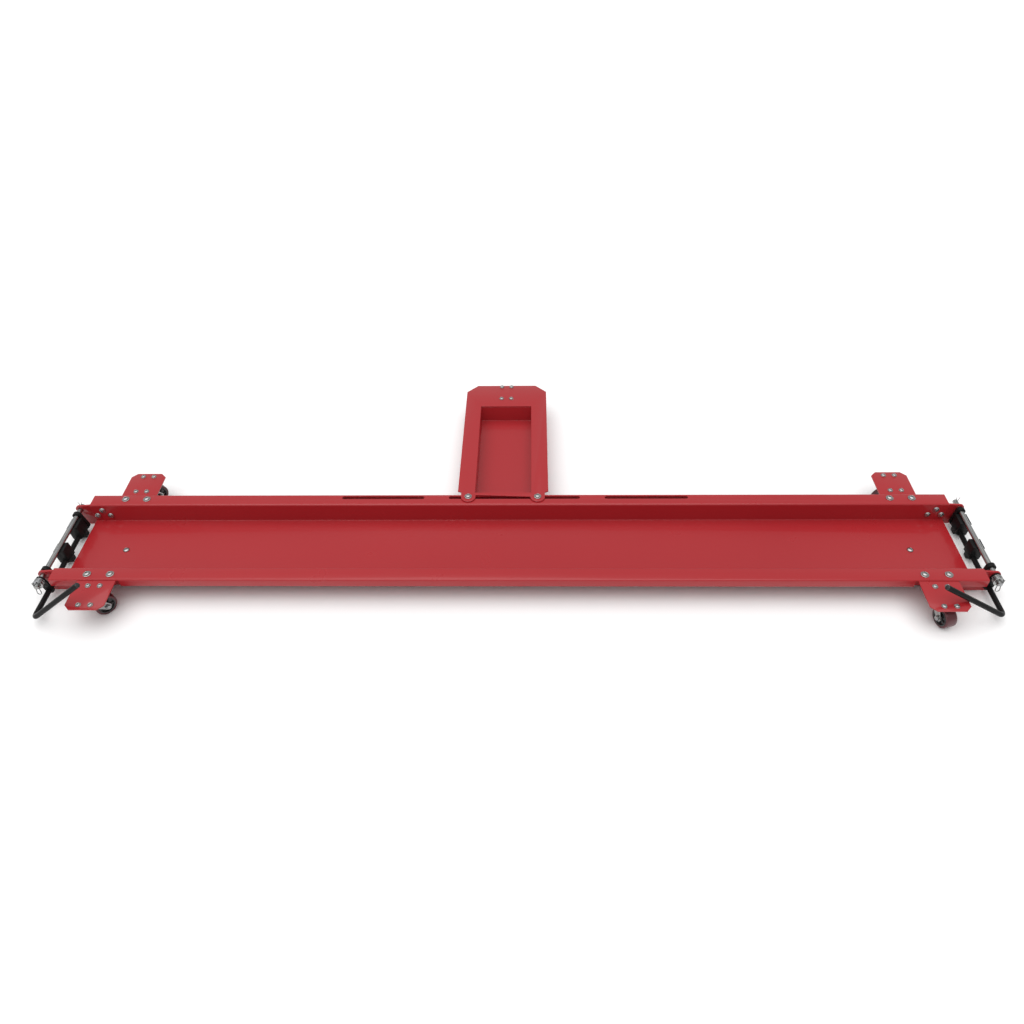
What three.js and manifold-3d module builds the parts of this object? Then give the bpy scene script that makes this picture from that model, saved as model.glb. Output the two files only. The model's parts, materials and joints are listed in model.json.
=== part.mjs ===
// Motorcycle dolly: a long folded steel channel on casters, with a sliding tray for the kickstand
// and a foot-operated stand at each end. Millimetres, +X along the channel, +Z up, floor at Z = 0.
import * as THREE from "three";
import { mergeVertices } from "three/addons/utils/BufferGeometryUtils.js";
import Module from "manifold-3d";

const wasm = await Module();
wasm.setup();

// ---------------------------------------------------------------- driving dimensions
const GAP = 0.3; // left between faces that touch
const SHEET = 3; // thickness of the folded channel, saddles and kickstand plate
const FRAME_Y = 185.1; // channel centre line to the middle of the whole footprint

const channel = {
  halfLength: 1050,
  innerHalf: 103.6, // inside face of the wall
  outerHalf: 141.8, // outside face of the lip
  top: 72, // flange top above the ground
  floor: 20.4, // wheel track above the ground
  lip: 21,
  bend: 3, // bend radius of the middle of the sheet
};
const slot = { y: 130, width: 10, long: 323, short: 204, shortCentre: 324 };
const saddle = { x: 940, width: 88, reach: 226, chamfer: 13, relief: 6 };
const arm = { inner: 992, outer: 1089, thickness: 5, top: 68, heel: 5, nose: 12 };
const axle = {
  x: 1080,
  z: 54,
  radius: 6,
  near: -145,
  far: 129,
  slide: { left: -6, right: 6 }, // play along the arms, taken up one way at each end
};
const stand = {
  throwRadius: 33, // axle centre to stand bar centre
  barRadius: 6,
  near: -206.5, // plane of the foot lever
  far: 99,
  lever: 183,
  leverAngle: 23.3, // above horizontal with the bar straight below the axle
  footAngle: 7.7, // the foot points straight down when the lever is pressed this far from upright
  footRadius: 53.3,
  restAngle: { left: 15, right: 8.2 }, // how far the bar has swung inwards
  slotFrom: 4.7, // swing at which the bar meets the outer end of the arm's slot
  slotTo: 28,
  slotHalf: 7.2,
};
const caster = { x: 939.5, y: 185, trail: 20, wheelRadius: 25, wheelWidth: 28, top: 65.4 };
const kick = {
  x: -28,
  halfWidth: 112,
  far: 600,
  chamfer: 30,
  near: 136,
  boltHalf: 85.5,
  tabRadius: 18,
  openHalf: 69.75,
  openNear: 144.4,
  openFar: 501.5,
  trayFloor: 26,
  trayWall: 2.2,
  casterY: 565,
};

// ---------------------------------------------------------------- materials
const finish = (color, roughness, metalness) =>
  new THREE.MeshStandardMaterial({ color, roughness, metalness });
const redPaint = finish(0xa8262c, 0.25, 0.0);
const blackPaint = finish(0x161617, 0.35, 0.0);
const zinc = finish(0xb9bcc0, 0.3, 1.0);
const rubber = finish(0x1b1b1c, 0.8, 0.0);
const wheelPlastic = finish(0x3a1216, 0.35, 0.0);

// ---------------------------------------------------------------- shape helpers
const degrees = (angle) => (angle * Math.PI) / 180;

// A geometry as a manifold-3d solid, for joins and cuts.
function toSolid(geometry) {
  const bare = geometry.clone();
  bare.deleteAttribute("normal");
  bare.deleteAttribute("uv");
  const merged = mergeVertices(bare, 1e-4);
  return new wasm.Manifold(
    new wasm.Mesh({
      numProp: 3,
      vertProperties: merged.attributes.position.array,
      triVerts: new Uint32Array(merged.index.array),
    }),
  );
}

// A manifold-3d solid as a flat-shaded geometry.
function toGeometry(solid) {
  const mesh = solid.getMesh();
  const geometry = new THREE.BufferGeometry();
  geometry.setAttribute("position", new THREE.BufferAttribute(mesh.vertProperties, 3));
  geometry.setIndex(new THREE.BufferAttribute(mesh.triVerts, 1));
  const flat = geometry.toNonIndexed();
  flat.computeVertexNormals();
  return flat;
}

const join = (geometries) =>
  toGeometry(geometries.map(toSolid).reduce((whole, next) => whole.add(next)));
const cut = (geometry, tools) =>
  toGeometry(tools.map(toSolid).reduce((left, tool) => left.subtract(tool), toSolid(geometry)));

const outline = (points) => new THREE.Shape(points.map(([u, v]) => new THREE.Vector2(u, v)));
const prism = (shape, depth) =>
  new THREE.ExtrudeGeometry(shape, { depth, bevelEnabled: false, curveSegments: 8 });

// An X-Y outline from z0 up to z1.
const plateZ = (shape, z0, z1) => prism(shape, z1 - z0).translate(0, 0, z0);
// An X-Z outline from y0 to y1.
const plateY = (shape, y0, y1) => prism(shape, y1 - y0).rotateX(Math.PI / 2).translate(0, y1, 0);
// A Y-Z outline from x0 to x1.
function plateX(shape, x0, x1) {
  const turn = new THREE.Matrix4().makeBasis(
    new THREE.Vector3(0, 1, 0),
    new THREE.Vector3(0, 0, 1),
    new THREE.Vector3(1, 0, 0),
  );
  return prism(shape, x1 - x0).applyMatrix4(turn).translate(x0, 0, 0);
}

const box = (x0, x1, y0, y1, z0, z1) =>
  new THREE.BoxGeometry(x1 - x0, y1 - y0, z1 - z0).translate(
    (x0 + x1) / 2,
    (y0 + y1) / 2,
    (z0 + z1) / 2,
  );
const rodY = (radius, y0, y1, x = 0, z = 0, sides = 28) =>
  new THREE.CylinderGeometry(radius, radius, y1 - y0, sides).translate(x, (y0 + y1) / 2, z);
const rodZ = (radius, z0, z1, x = 0, y = 0, sides = 28) =>
  new THREE.CylinderGeometry(radius, radius, z1 - z0, sides)
    .rotateX(Math.PI / 2)
    .translate(x, y, (z0 + z1) / 2);

// The section of a bent sheet: the middle line's corners, rounded, with half the sheet on each side.
function foldedSection(corners, thickness, bends, arcSteps = 4) {
  const middle = corners.map(([u, v]) => new THREE.Vector2(u, v));
  const left = [];
  const right = [];
  const place = (point, direction) => {
    const normal = new THREE.Vector2(-direction.y, direction.x).multiplyScalar(thickness / 2);
    left.push(point.clone().add(normal));
    right.push(point.clone().sub(normal));
  };
  const last = middle.length - 1;
  middle.forEach((corner, i) => {
    const before = i > 0 ? corner.clone().sub(middle[i - 1]).normalize() : null;
    const after = i < last ? middle[i + 1].clone().sub(corner).normalize() : null;
    if (!before || !after) {
      place(corner, before ?? after);
      return;
    }
    const turn = Math.atan2(before.cross(after), before.dot(after));
    const radius = bends[i - 1];
    const start = corner.clone().addScaledVector(before, -radius * Math.tan(Math.abs(turn) / 2));
    const inward = new THREE.Vector2(-before.y, before.x).multiplyScalar(Math.sign(turn) * radius);
    const centre = start.clone().add(inward);
    for (let step = 0; step <= arcSteps; step += 1) {
      const angle = (turn * step) / arcSteps;
      const along = before.clone().rotateAround(new THREE.Vector2(), angle);
      place(start.clone().rotateAround(centre, angle), along);
    }
  });
  return new THREE.Shape([...right, ...left.reverse()]);
}

// A round wire or rod along a curve.
function sweep(curve, radius, steps, sides = 10) {
  const section = new THREE.Shape();
  section.absarc(0, 0, radius, 0, 2 * Math.PI, false);
  return new THREE.ExtrudeGeometry(section, {
    extrudePath: curve,
    steps,
    curveSegments: Math.ceil(sides / 2),
    bevelEnabled: false,
  });
}

const smoothCurve = (points) =>
  new THREE.CatmullRomCurve3(points.map((p) => new THREE.Vector3(...p)), false, "centripetal");

// A coil about the Y axis.
class Coil extends THREE.Curve {
  constructor(radius, y0, y1, turns) {
    super();
    Object.assign(this, { radius, y0, y1, turns });
  }
  getPoint(t, target = new THREE.Vector3()) {
    const angle = 2 * Math.PI * this.turns * t;
    const y = this.y0 + (this.y1 - this.y0) * t;
    return target.set(this.radius * Math.cos(angle), y, this.radius * Math.sin(angle));
  }
}

const mesh = (name, geometry, material) => {
  const node = new THREE.Mesh(geometry, material);
  node.name = name;
  return node;
};

const group = (children, x = 0, y = 0, z = 0) => {
  const node = new THREE.Group();
  node.position.set(x, y, z);
  node.add(...children);
  return node;
};

// ---------------------------------------------------------------- channel
const half = SHEET / 2;
const flangeMiddle = channel.top - half;
const wallMiddle = channel.innerHalf + half;
const lipMiddle = channel.outerHalf - half;

// An X-Y outline with round ends, for a slot or its cutter.
function slotShape(x, y, length, width) {
  const shape = new THREE.Shape();
  const reach = (length - width) / 2;
  shape.absarc(x + reach, y, width / 2, -Math.PI / 2, Math.PI / 2, false);
  shape.absarc(x - reach, y, width / 2, Math.PI / 2, (3 * Math.PI) / 2, false);
  return shape;
}

function channelGeometry() {
  const lipEnd = channel.top - channel.lip;
  const floorMiddle = channel.floor - half;
  const section = foldedSection(
    [
      [-lipMiddle, lipEnd],
      [-lipMiddle, flangeMiddle],
      [-wallMiddle, flangeMiddle],
      [-wallMiddle, floorMiddle],
      [wallMiddle, floorMiddle],
      [wallMiddle, flangeMiddle],
      [lipMiddle, flangeMiddle],
      [lipMiddle, lipEnd],
    ],
    SHEET,
    Array(6).fill(channel.bend),
  );
  const under = channel.top - SHEET;
  const notches = [-1, 1].flatMap((end) =>
    [-1, 1].map((side) => {
      const inboard = saddle.x - saddle.width / 2 - saddle.relief;
      const outboard = saddle.x + saddle.width / 2 + 1;
      const [x0, x1] = end > 0 ? [inboard, outboard] : [-outboard, -inboard];
      const [y0, y1] = side > 0 ? [lipMiddle - 4, lipMiddle + 4] : [-lipMiddle - 4, -lipMiddle + 4];
      return box(x0, x1, y0, y1, lipEnd - 1, under - 0.05);
    }),
  );
  const slots = [
    [0, slot.long],
    [-slot.shortCentre, slot.short],
    [slot.shortCentre, slot.short],
  ].map(([x, length]) =>
    plateZ(slotShape(x, slot.y, length, slot.width), under - 1, channel.top + 1),
  );
  const blank = plateX(section, -channel.halfLength, channel.halfLength);
  return cut(blank, [...notches, ...slots]);
}

// ---------------------------------------------------------------- ends of the channel
// Each end is drawn for +X and mirrored for the left end by its group.
function saddleGeometry() {
  const outside = channel.innerHalf + SHEET + GAP + half;
  const under = channel.floor - SHEET - GAP - half;
  const wing = channel.top - SHEET - GAP - half;
  const nested = channel.bend + SHEET + GAP;
  const section = foldedSection(
    [
      [-saddle.reach, wing],
      [-outside, wing],
      [-outside, under],
      [outside, under],
      [outside, wing],
      [saddle.reach, wing],
    ],
    SHEET,
    [channel.bend, nested, nested, channel.bend],
  );
  const x0 = saddle.x - saddle.width / 2;
  const x1 = saddle.x + saddle.width / 2;
  const corners = [x0, x1].flatMap((x) =>
    [-saddle.reach, saddle.reach].map((y) => {
      const inX = x === x0 ? 1 : -1;
      const inY = y < 0 ? 1 : -1;
      const triangle = [
        [x - inX, y - inY],
        [x + inX * (saddle.chamfer + 1), y - inY],
        [x - inX, y + inY * (saddle.chamfer + 1)],
      ];
      return plateZ(outline(inX * inY > 0 ? triangle : triangle.reverse()), wing - 5, wing + 5);
    }),
  );
  return cut(plateX(section, x0, x1), corners);
}

// Flat arm bolted outside the wall: its nose carries the axle, and its heel nearly reaches the
// ground. The near arm has a curved slot about the axle that the stand bar swings in.
function armGeometry(side) {
  const shape = new THREE.Shape();
  shape.moveTo(arm.inner, arm.top);
  shape.lineTo(arm.inner, arm.top - 28);
  shape.lineTo(arm.inner + 14, arm.heel);
  shape.lineTo(arm.outer - 13, arm.heel);
  shape.quadraticCurveTo(arm.outer, arm.heel, arm.outer, arm.heel + 13);
  shape.absarc(axle.x, axle.z, arm.nose, degrees(-41), degrees(98), false);
  shape.lineTo(channel.halfLength, arm.top);
  const bore = new THREE.Path();
  bore.absarc(axle.x, axle.z, axle.radius + GAP, 0, 2 * Math.PI, true);
  shape.holes.push(bore);
  if (side < 0) shape.holes.push(slotPath());
  const inside = channel.innerHalf + SHEET + GAP;
  const outside = inside + arm.thickness;
  return side > 0 ? plateY(shape, inside, outside) : plateY(shape, -outside, -inside);
}

// Angles in the slot are measured from straight down, inwards.
function slotPath() {
  const [from, to] = [-90 - stand.slotFrom, -90 - stand.slotTo].map(degrees);
  const inner = stand.throwRadius - stand.slotHalf;
  const outer = stand.throwRadius + stand.slotHalf;
  const end = (angle) => [
    axle.x + stand.throwRadius * Math.cos(angle),
    axle.z + stand.throwRadius * Math.sin(angle),
  ];
  const path = new THREE.Path();
  path.absarc(axle.x, axle.z, outer, from, to, true);
  path.absarc(...end(to), stand.slotHalf, to, to - Math.PI, true);
  path.absarc(axle.x, axle.z, inner, to, from, false);
  path.absarc(...end(from), stand.slotHalf, from - Math.PI, from - 2 * Math.PI, true);
  return path;
}

const armOutside = channel.innerHalf + SHEET + GAP + arm.thickness;
const outerCheek = { near: -122.6, far: -118.4 };
const spring = { radius: 10.6, wire: 1.3, turns: 2.5, near: outerCheek.near - 10 };
const washerFace = spring.near - spring.wire - GAP;
const clipY = washerFace - 3.8;
const cotterY = armOutside + 8.5;

// Local to the axle centre, like everything below that hangs on it.
function axleGeometry() {
  const rod = rodY(axle.radius, axle.near, axle.far);
  const reach = axle.radius + 2;
  return cut(rod, [rodZ(1.95, -reach, reach, 0, cotterY), rodZ(1.6, -reach, reach, 0, clipY)]);
}

function springGeometry() {
  const start = outerCheek.near - spring.wire - GAP;
  return sweep(new Coil(spring.radius, spring.near, start, spring.turns), spring.wire, 49, 6);
}

const washerGeometry = () =>
  cut(rodY(12, washerFace - 2, washerFace, 0, 0, 32), [
    rodY(axle.radius + GAP, washerFace - 3, washerFace + 1),
  ]);

function hairpinGeometry() {
  const route = smoothCurve([
    [0, clipY, 12],
    [0, clipY, -8],
    [0, clipY, -20],
    [1.5, clipY, -27],
    [6, clipY, -30],
    [10, clipY, -26.5],
    [9.4, clipY, -20],
    [8.2, clipY, -12],
    [9.6, clipY, -5],
    [9.2, clipY, 2],
    [10.6, clipY, 8],
  ]);
  return sweep(route, 1.2, 30, 6);
}

function cotterGeometry() {
  const route = smoothCurve([
    [-6.5, cotterY, 19],
    [-1.6, cotterY, 10],
    [-0.95, cotterY, 5],
    [-0.95, cotterY, -6],
    [-1.4, cotterY, -9],
    [-3.6, cotterY, -12.5],
    [0, cotterY, -16],
    [3.6, cotterY, -12.5],
    [1.4, cotterY, -9],
    [0.95, cotterY, -6],
    [0.95, cotterY, 5],
    [1.6, cotterY, 10],
    [3.5, cotterY, 21],
  ]);
  return sweep(route, 0.75, 40, 6);
}

// ---------------------------------------------------------------- stand, upright about its axle
function standBarGeometry() {
  const bend = 14;
  const rise = degrees(stand.leverAngle);
  const bar = -stand.throwRadius;
  const along = (distance) =>
    new THREE.Vector3(-distance * Math.cos(rise), stand.near, bar + distance * Math.sin(rise));
  const route = new THREE.CurvePath();
  const vertex = new THREE.Vector3(0, stand.near, bar);
  const bendStart = new THREE.Vector3(0, stand.near + bend, bar);
  route.add(new THREE.LineCurve3(new THREE.Vector3(0, stand.far, bar), bendStart));
  route.add(new THREE.QuadraticBezierCurve3(bendStart, vertex, along(bend)));
  route.add(new THREE.LineCurve3(along(bend), along(stand.lever)));
  return sweep(route, stand.barRadius, 40, 12);
}

const barHole = (y0, y1) =>
  rodY(stand.barRadius + GAP, y0 - 1, y1 + 1, 0, -stand.throwRadius);
const axleHole = (y0, y1) => rodY(axle.radius + GAP, y0 - 1, y1 + 1);

function cheekGeometry(y0, y1) {
  const shape = new THREE.Shape();
  shape.absarc(0, 0, 10.5, 0, Math.PI, false);
  shape.absarc(0, -stand.throwRadius, 10.5, Math.PI, 2 * Math.PI, false);
  return cut(plateY(shape, y0, y1), [axleHole(y0, y1), barHole(y0, y1)]);
}

// The foot is drawn pointing straight down, then turned outwards by the foot angle.
function turnFoot(geometry) {
  return geometry.rotateY(degrees(-stand.footAngle));
}

const footTop = stand.footRadius - 8;

// Block over the bar, with a cradle under the axle and a narrower foot below its far half.
function bracketGeometry(y, width) {
  const block = outline([
    [-14, -2],
    [-14, -36],
    [-9, -41],
    [9, -41],
    [12, -38],
    [12, -2],
  ]);
  const foot = outline([
    [-9, -40],
    [-9, -footTop],
    [9, -footTop],
    [9, -40],
  ]);
  const solid = join([
    turnFoot(plateY(block, y - width / 2, y + width / 2)),
    turnFoot(plateY(foot, y, y + width / 2 - 1)),
  ]);
  return cut(solid, [
    axleHole(y - width / 2, y + width / 2),
    barHole(y - width / 2, y + width / 2),
  ]);
}

// Rubber pad with its underside round about the axle, so it rolls on to the ground.
function padGeometry(y, width) {
  const reach = Math.asin(9 / stand.footRadius);
  const down = -Math.PI / 2;
  const shape = new THREE.Shape();
  shape.absarc(0, 0, stand.footRadius, down - reach, down + reach, false);
  shape.lineTo(9, -footTop - GAP);
  shape.lineTo(-9, -footTop - GAP);
  return turnFoot(plateY(shape, y, y + width / 2 - 1));
}

const brackets = { near: { y: -15, width: 30 }, far: { y: 67, width: 35 } };

function buildStand(side) {
  const parts = [
    mesh(`stand_bar_${side}`, standBarGeometry(), blackPaint),
    mesh(`stand_cheek_near_${side}`, cheekGeometry(-96, -86), blackPaint),
    mesh(`stand_cheek_far_${side}`, cheekGeometry(88, 96), blackPaint),
    mesh(`stand_cheek_outer_${side}`, cheekGeometry(outerCheek.near, outerCheek.far), blackPaint),
  ];
  for (const [place, { y, width }] of Object.entries(brackets)) {
    parts.push(
      mesh(`foot_bracket_${place}_${side}`, bracketGeometry(y, width), blackPaint),
      mesh(`foot_pad_${place}_${side}`, padGeometry(y, width), rubber),
    );
  }
  const hung = group(parts);
  hung.rotation.y = degrees(stand.restAngle[side]);
  return hung;
}

function buildEnd(side) {
  const onAxle = [
    mesh(`axle_rod_${side}`, axleGeometry(), zinc),
    mesh(`axle_spring_${side}`, springGeometry(), zinc),
    mesh(`axle_washer_${side}`, washerGeometry(), zinc),
    mesh(`hairpin_clip_${side}`, hairpinGeometry(), zinc),
    mesh(`cotter_pin_${side}`, cotterGeometry(), zinc),
    buildStand(side),
  ];
  const end = group([
    mesh(`outrigger_saddle_${side}`, saddleGeometry(), redPaint),
    mesh(`axle_arm_near_${side}`, armGeometry(-1), redPaint),
    mesh(`axle_arm_far_${side}`, armGeometry(1), redPaint),
    group(onAxle, axle.x, axle.slide[side], axle.z),
  ]);
  end.scale.x = side === "left" ? -1 : 1;
  return end;
}

// ---------------------------------------------------------------- casters
// Drawn about the swivel axis, trailing along +X, with the ground at Z = 0.
const forkTop = 2 * caster.wheelRadius + 5.5;
const forkGauge = caster.wheelWidth / 2 + 1;

function casterPlateGeometry(top) {
  const plate = box(-22, 22, -36, 36, top - 2.5, top);
  return join([plate, rodZ(20, forkTop + GAP, top - 2)]);
}

function forkGeometry() {
  const crown = rodZ(19, forkTop - 4, forkTop);
  const shape = new THREE.Shape();
  shape.moveTo(-13, forkTop - 1);
  shape.lineTo(-13, forkTop - 9);
  shape.absarc(caster.trail, caster.wheelRadius, 8, degrees(205), degrees(380), false);
  shape.lineTo(15, forkTop - 8);
  shape.lineTo(15, forkTop - 1);
  const cheeks = [-1, 1].map((side) => {
    const near = side > 0 ? forkGauge : -forkGauge - 2;
    return plateY(shape, near, near + 2);
  });
  const hole = rodY(3.3, -30, 30, caster.trail, caster.wheelRadius);
  return cut(join([crown, ...cheeks]), [hole]);
}

function wheelGeometry() {
  const r = caster.wheelRadius;
  const w = caster.wheelWidth / 2;
  const profile = [
    [3.3, -w],
    [8, -w],
    [8.5, -w + 2],
    [r - 7, -w + 2],
    [r - 6.5, -w + 0.5],
    [r - 2.5, -w + 0.5],
    [r - 0.6, -w + 3],
    [r, 0],
    [r - 0.6, w - 3],
    [r - 2.5, w - 0.5],
    [r - 6.5, w - 0.5],
    [r - 7, w - 2],
    [8.5, w - 2],
    [8, w],
    [3.3, w],
    [3.3, -w],
  ].map(([x, y]) => new THREE.Vector2(x, y));
  return new THREE.LatheGeometry(profile, 28).translate(caster.trail, 0, r);
}

function wheelAxleGeometry() {
  const outer = forkGauge + 2 + GAP;
  const [x, z] = [caster.trail, caster.wheelRadius];
  return join([
    rodY(3, -outer - 3, outer + 3, x, z, 20),
    rodY(5.6, outer, outer + 4, x, z, 6),
    rodY(5.6, -outer - 4.5, -outer, x, z, 6),
  ]);
}

function buildCaster(name, x, y, top, trailAngle) {
  const turning = group([
    mesh(`caster_fork_${name}`, forkGeometry(), zinc),
    mesh(`caster_wheel_${name}`, wheelGeometry(), wheelPlastic),
    mesh(`caster_axle_${name}`, wheelAxleGeometry(), zinc),
  ]);
  turning.rotation.z = degrees(trailAngle);
  return group([mesh(`caster_plate_${name}`, casterPlateGeometry(top), zinc), turning], x, y, 0);
}

// ---------------------------------------------------------------- kickstand support
// Drawn about the support's own centre line, with Y still measured from the channel centre.
const plateUnder = channel.top + GAP;

function kickPlateGeometry() {
  const { halfWidth, far, chamfer, near, boltHalf, tabRadius } = kick;
  const shoulder = channel.outerHalf + 4;
  const shape = new THREE.Shape();
  const side = (sign) => {
    const points = [
      [boltHalf + tabRadius, shoulder],
      [halfWidth, shoulder + 4],
      [halfWidth, far - chamfer],
      [halfWidth - chamfer, far],
    ].map(([x, y]) => [sign * x, y]);
    return sign > 0 ? points : points.reverse();
  };
  shape.moveTo(boltHalf - tabRadius, near);
  shape.absarc(boltHalf, slot.y, tabRadius, Math.PI, 2 * Math.PI, false);
  side(1).forEach((point) => shape.lineTo(...point));
  side(-1).forEach((point) => shape.lineTo(...point));
  shape.absarc(-boltHalf, slot.y, tabRadius, Math.PI, 2 * Math.PI, false);
  shape.lineTo(-boltHalf + tabRadius, near);
  const opening = new THREE.Path(
    [
      [-kick.openHalf, kick.openNear],
      [-kick.openHalf, kick.openFar],
      [kick.openHalf, kick.openFar],
      [kick.openHalf, kick.openNear],
    ].map(([x, y]) => new THREE.Vector2(x, y)),
  );
  shape.holes.push(opening);
  for (const x of [-boltHalf, boltHalf]) {
    const hole = new THREE.Path();
    hole.absarc(x, slot.y, 4.6, 0, 2 * Math.PI, true);
    shape.holes.push(hole);
  }
  return plateZ(shape, plateUnder, plateUnder + SHEET);
}

function kickTrayGeometry() {
  const { openHalf, openNear, openFar, trayFloor, trayWall } = kick;
  const rim = 12;
  const top = plateUnder - GAP;
  const walls = box(
    -openHalf - trayWall,
    openHalf + trayWall,
    openNear - trayWall,
    openFar + trayWall,
    trayFloor - trayWall,
    top,
  );
  const flange = box(-openHalf - rim, openHalf + rim, openNear - trayWall, openFar + rim, top - 2, top);
  const inside = box(-openHalf, openHalf, openNear, openFar, trayFloor, top + 1);
  return cut(join([walls, flange]), [inside]);
}

// Button-headed bolt through the tab and the channel's slot, with its washer and nut underneath.
function kickBoltGeometry(x) {
  const head = plateUnder + SHEET + GAP;
  const under = channel.top - SHEET - GAP;
  const profile = [
    [0, head - 1],
    [8.5, head - 1],
    [8.5, head + 1],
    [6.8, head + 4.2],
    [4, head + 5],
    [0, head + 5],
  ].map(([r, z]) => new THREE.Vector2(r, z));
  const button = new THREE.LatheGeometry(profile, 28).rotateX(Math.PI / 2);
  button.translate(0, 0, 1);
  return join([
    button,
    rodZ(4, under - 11, head + 1),
    rodZ(7.6, under - 1.6, under, 0, 0, 28),
    rodZ(7.2, under - 8, under - 1.4, 0, 0, 6),
  ]).translate(x, slot.y, 0);
}

function buildKickSupport() {
  return group(
    [
      mesh("kick_plate", kickPlateGeometry(), redPaint),
      mesh("kick_tray", kickTrayGeometry(), redPaint),
      mesh("kick_bolt_left", kickBoltGeometry(-kick.boltHalf), zinc),
      mesh("kick_bolt_right", kickBoltGeometry(kick.boltHalf), zinc),
    ],
    kick.x,
  );
}

// ---------------------------------------------------------------- the whole dolly
const dolly = new THREE.Group();
dolly.add(
  mesh("channel", channelGeometry(), redPaint),
  buildEnd("left"),
  buildEnd("right"),
  buildCaster("near_left", -caster.x, -caster.y, caster.top, 50),
  buildCaster("far_left", -caster.x, caster.y, caster.top, 50),
  buildCaster("near_right", caster.x, -caster.y, caster.top, -75),
  buildCaster("far_right", caster.x, caster.y, caster.top, 200),
  buildCaster("kick", kick.x, kick.casterY, channel.top, 215),
  buildKickSupport(),
);
dolly.position.y = -FRAME_Y;

export default dolly;
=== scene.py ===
"""Looks of the motorcycle dolly: painted sheet steel, bright fasteners, casters and foot stands.

Every piece is placed from the CAD frame, in metres, and rides on one of its bodies.
"""

import json
import logging
import math
from collections.abc import Callable, Iterable, Sequence
from contextlib import contextmanager
from dataclasses import dataclass, field
from enum import Enum

import bmesh
import bpy
from mathutils import Matrix, Vector


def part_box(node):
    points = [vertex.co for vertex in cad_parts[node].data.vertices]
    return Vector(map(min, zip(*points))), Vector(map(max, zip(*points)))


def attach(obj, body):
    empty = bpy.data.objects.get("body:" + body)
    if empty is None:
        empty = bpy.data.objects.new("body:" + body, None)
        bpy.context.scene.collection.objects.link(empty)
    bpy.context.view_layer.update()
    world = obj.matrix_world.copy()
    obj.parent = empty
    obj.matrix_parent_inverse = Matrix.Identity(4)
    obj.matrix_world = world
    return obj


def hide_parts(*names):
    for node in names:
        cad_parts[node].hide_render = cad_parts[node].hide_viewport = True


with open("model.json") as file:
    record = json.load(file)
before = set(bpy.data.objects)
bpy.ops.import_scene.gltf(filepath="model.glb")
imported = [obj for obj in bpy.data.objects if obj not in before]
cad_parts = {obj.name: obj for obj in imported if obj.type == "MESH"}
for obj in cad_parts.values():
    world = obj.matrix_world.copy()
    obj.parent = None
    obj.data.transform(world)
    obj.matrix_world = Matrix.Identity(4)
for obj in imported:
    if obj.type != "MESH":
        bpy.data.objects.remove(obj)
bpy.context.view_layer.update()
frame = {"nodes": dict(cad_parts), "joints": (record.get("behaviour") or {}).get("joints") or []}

MM = 0.001
LOG = logging.getLogger("dolly")
Profile = Sequence[tuple[float, float]]


class Side(Enum):
    """The two ends of the channel, with the sign of X at each."""

    LEFT = "left"
    RIGHT = "right"

    @property
    def sign(self) -> int:
        """-1 at the left end and 1 at the right end."""
        return -1 if self is Side.LEFT else 1


class Slot(Enum):
    """The record's material slots."""

    RED = "red_paint"
    BLACK = "black_paint"
    ZINC = "zinc_plate"
    RUBBER = "rubber_pad"
    WHEEL = "wheel"


class Place(Enum):
    """Which corner of the dolly a caster stands at, or the kickstand support's one."""

    NEAR_LEFT = "near_left"
    FAR_LEFT = "far_left"
    NEAR_RIGHT = "near_right"
    FAR_RIGHT = "far_right"
    KICK = "kick"

    @property
    def body(self) -> str:
        """The body that the caster's mounting plate is bolted to."""
        return "kick_support" if self is Place.KICK else "frame"


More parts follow.
